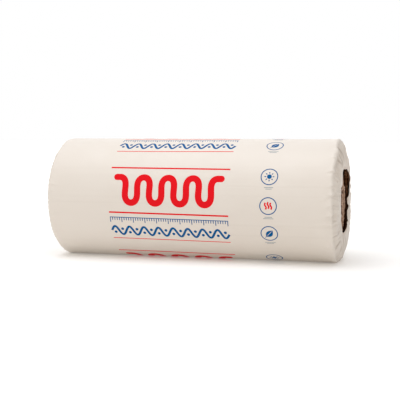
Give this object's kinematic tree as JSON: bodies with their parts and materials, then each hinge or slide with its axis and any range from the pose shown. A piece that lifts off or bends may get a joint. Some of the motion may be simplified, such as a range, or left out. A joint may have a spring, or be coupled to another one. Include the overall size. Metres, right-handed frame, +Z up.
{
  "type": "insulation roll",
  "caption": "Rolled mineral wool insulation mat in white printed film that turns over its rounded ends and leaves a round opening in each, lying on its side.",
  "frame": {"origin": "on the floor, under the middle of the roll", "axes": "+X along the roll's axis, to the right as seen from the printed side; +Z up; -Y towards the printed side"},
  "size_m": [1.22, 0.5, 0.5],
  "materials": {
    "film": "satin cream-white polyethylene film with red and blue print",
    "wool": "fibrous brown mineral wool, matt"
  },
  "bodies": {
    "root": {"film_wrap": "film", "wool_roll": "wool"}
  },
  "joints": []
}
